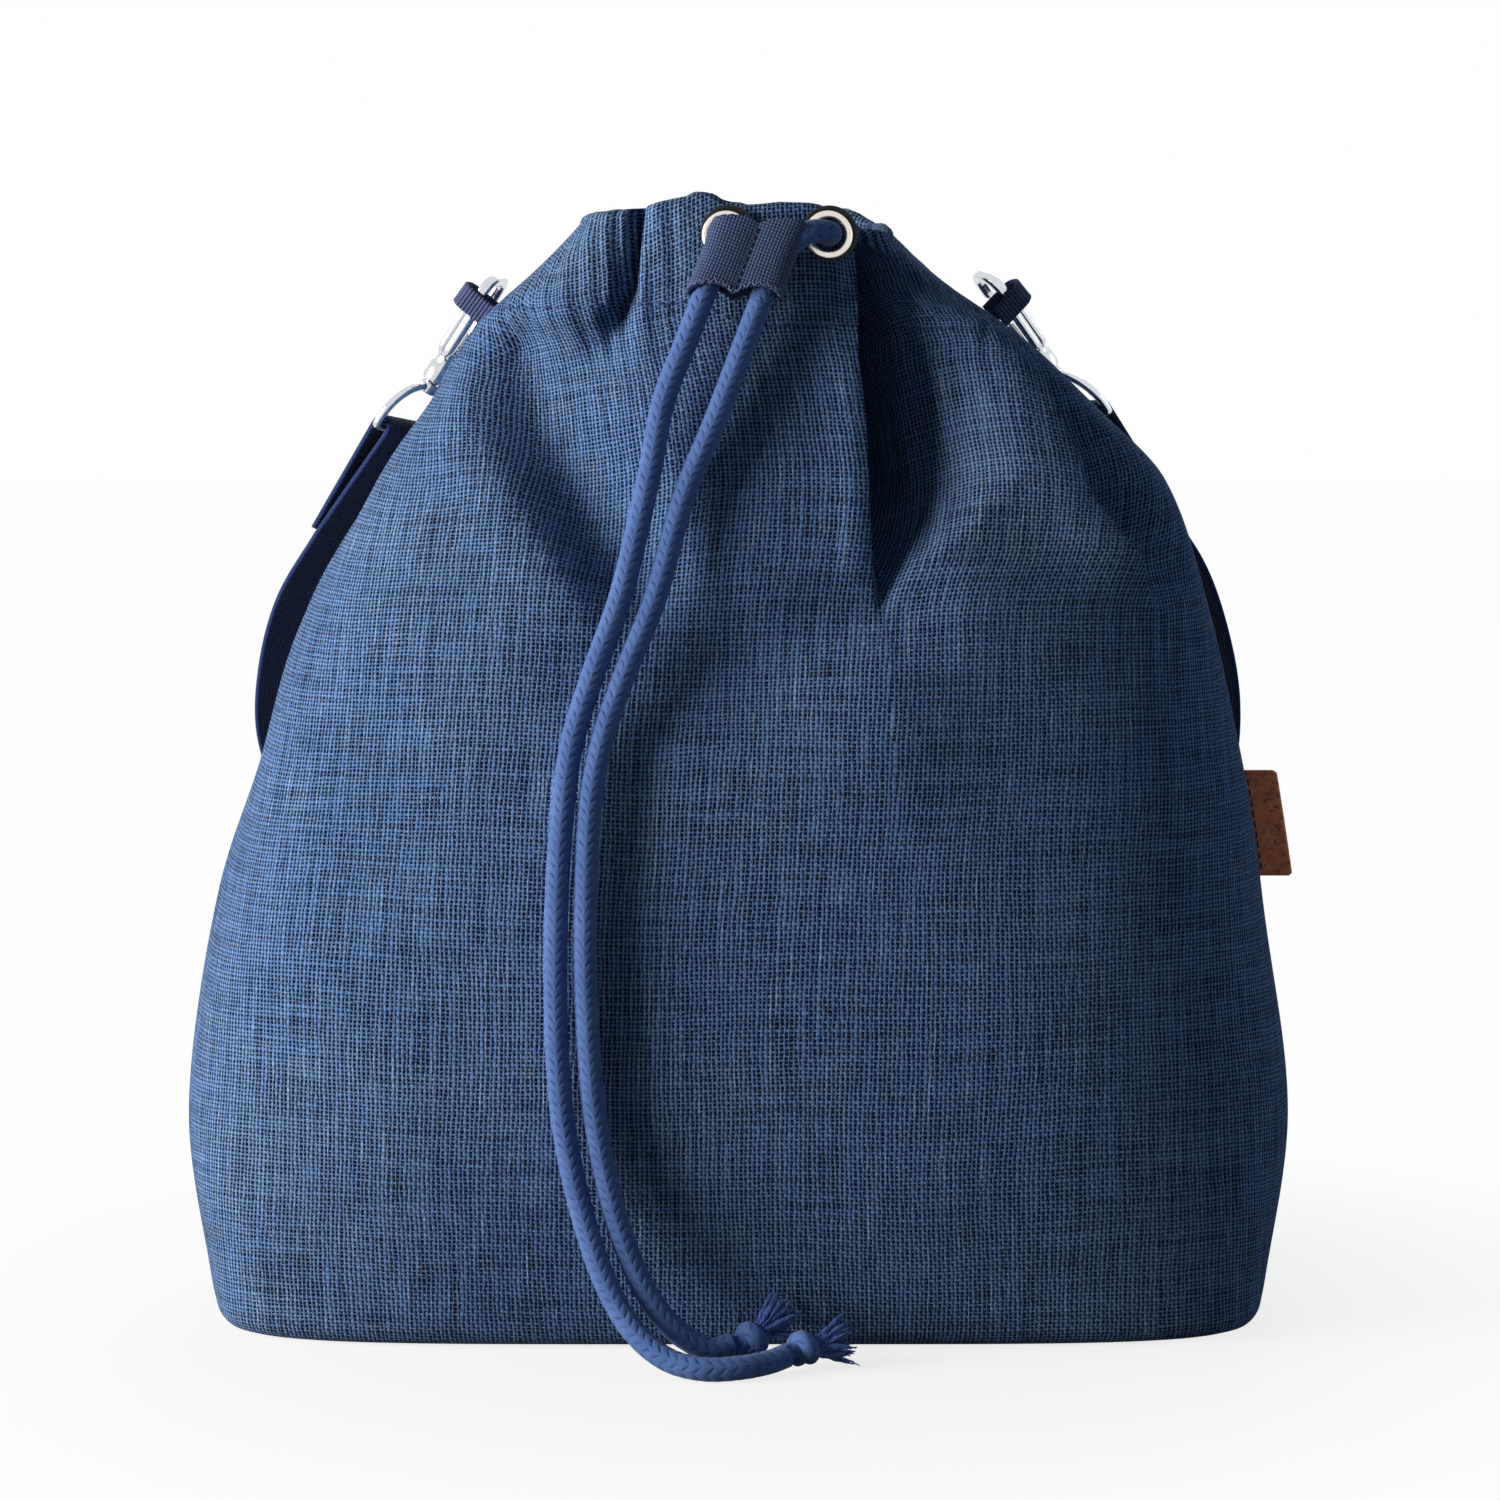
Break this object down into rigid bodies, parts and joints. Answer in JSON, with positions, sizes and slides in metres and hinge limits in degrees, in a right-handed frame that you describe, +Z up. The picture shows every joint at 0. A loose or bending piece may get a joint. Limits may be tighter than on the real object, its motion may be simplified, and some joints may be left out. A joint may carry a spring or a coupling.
{
  "type": "drawstring lunch bag",
  "caption": "Woven drawstring lunch bag standing on its base, with braided cord through eyelets, webbing cord slider, side tabs and a carry strap on swivel snap hooks.",
  "frame": {"origin": "middle of the base panel, on the floor", "axes": "+Z up, front with the eyelets towards -Y, label side towards +X"},
  "size_m": [0.2919, 0.2036, 0.291],
  "materials": {
    "woven_cloth": "coarse plain weave, two blues",
    "lining_cloth": "smooth dark lining",
    "braided_cord": "round braid",
    "slider_webbing": "fine ribbed webbing",
    "tab_webbing": "ribbed webbing",
    "strap_webbing": "flat webbing",
    "nickel": "satin nickel",
    "chrome": "bright chrome",
    "spring_steel": "bright",
    "black_rubber": "matt",
    "cork": "pressed cork sheet, blank"
  },
  "bodies": {
    "bag": {"front_panel": "woven_cloth", "back_panel": "woven_cloth", "base_panel": "woven_cloth", "lining": "lining_cloth", "mouth_hem_front": "woven_cloth", "mouth_hem_back": "woven_cloth", "eyelet_left": "nickel", "eyelet_right": "nickel", "eyelet_gasket_left": "black_rubber", "eyelet_gasket_right": "black_rubber", "eyelet_washer_left": "nickel", "eyelet_washer_right": "nickel", "drawcord_loop": "braided_cord", "drawcord_tail_left": "braided_cord", "drawcord_tail_right": "braided_cord", "tail_knot_left": "braided_cord", "tail_knot_right": "braided_cord", "tail_tassel_left": "braided_cord", "tail_tassel_right": "braided_cord", "side_tab_left": "tab_webbing", "side_tab_right": "tab_webbing", "side_label": "cork"},
    "slider": {"cord_slider": "slider_webbing"},
    "carry_strap": {"strap_webbing": "strap_webbing", "swivel_ring_left": "chrome", "swivel_ring_right": "chrome", "swivel_stud_left": "chrome", "swivel_stud_right": "chrome"},
    "hook_left": {"hook_body_left": "chrome", "gate_pin_left": "spring_steel", "gate_spring_left": "spring_steel"},
    "hook_right": {"hook_body_right": "chrome", "gate_pin_right": "spring_steel", "gate_spring_right": "spring_steel"},
    "gate_left": {"hook_gate_left": "chrome"},
    "gate_right": {"hook_gate_right": "chrome"}
  },
  "joints": [
    {"name": "slider_slide", "type": "slide", "parent": "bag", "child": "slider", "axis": [-0.3503, -0.2107, -0.9126], "range_m": [0, 0.026]},
    {"name": "strap_swing", "type": "hinge", "parent": "bag", "child": "carry_strap", "pos_m": [-0.06903, 0.00906, 0.26904], "axis": [1, -0.0006, 0.003], "range_deg": [0, 160], "deforming": ["side_tab_left", "side_tab_right"]},
    {"name": "swivel_left", "type": "hinge", "parent": "carry_strap", "child": "hook_left", "pos_m": [-0.08237, 0.02017, 0.24233], "axis": [0.5389, -0.1996, 0.8184], "range_deg": [-20, 20], "deforming": ["side_tab_left"]},
    {"name": "swivel_right", "type": "hinge", "parent": "carry_strap", "child": "hook_right", "pos_m": [0.08277, 0.02533, 0.24568], "axis": [-0.5402, -0.4002, 0.7403], "range_deg": [-20, 20], "deforming": ["side_tab_right"]},
    {"name": "gate_hinge_left", "type": "hinge", "parent": "hook_left", "child": "gate_left", "pos_m": [-0.07431, 0.02337, 0.2521], "axis": [0.7866, -0.2283, -0.5737], "range_deg": [0, 25], "stiffness_Nm_per_rad": 0.02, "springref_deg": -17.19, "deforming": ["gate_spring_left"]},
    {"name": "gate_hinge_right", "type": "hinge", "parent": "hook_right", "child": "gate_right", "pos_m": [0.07395, 0.02579, 0.2553], "axis": [0.7227, 0.23, 0.6517], "range_deg": [0, 25], "stiffness_Nm_per_rad": 0.02, "springref_deg": -17.19, "deforming": ["gate_spring_right"]}
  ]
}
